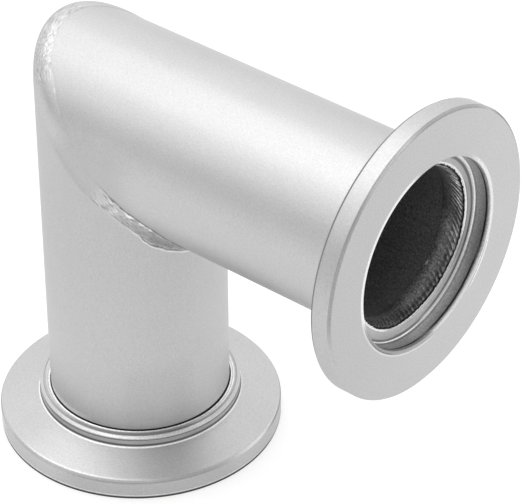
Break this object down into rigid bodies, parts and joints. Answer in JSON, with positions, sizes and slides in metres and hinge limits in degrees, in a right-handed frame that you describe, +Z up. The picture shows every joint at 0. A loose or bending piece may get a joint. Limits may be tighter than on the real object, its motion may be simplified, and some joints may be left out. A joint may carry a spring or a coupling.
{
  "type": "vacuum elbow fitting",
  "caption": "Right-angle vacuum pipe fitting of satin stainless steel: mitred, welded legs with a round clamp flange and centring recess on each end.",
  "frame": {"origin": "centre of the lower flange's sealing face, on the inlet leg's axis", "axes": "+Z runs up the inlet leg, +X runs along the outlet leg towards the other flange's sealing face"},
  "size_m": [0.07, 0.04, 0.07],
  "materials": {
    "turned_steel": "satin, bead-blasted after turning",
    "pipe_steel": "satin, bead-blasted",
    "weld_metal": "rippled bead, bead-blasted outside and left dark inside"
  },
  "bodies": {
    "root": {"inlet_flange": "turned_steel", "outlet_flange": "turned_steel", "inlet_tube": "pipe_steel", "outlet_tube": "pipe_steel", "mitre_weld": "weld_metal", "inlet_seam_weld": "weld_metal", "outlet_seam_weld": "weld_metal"}
  },
  "joints": []
}
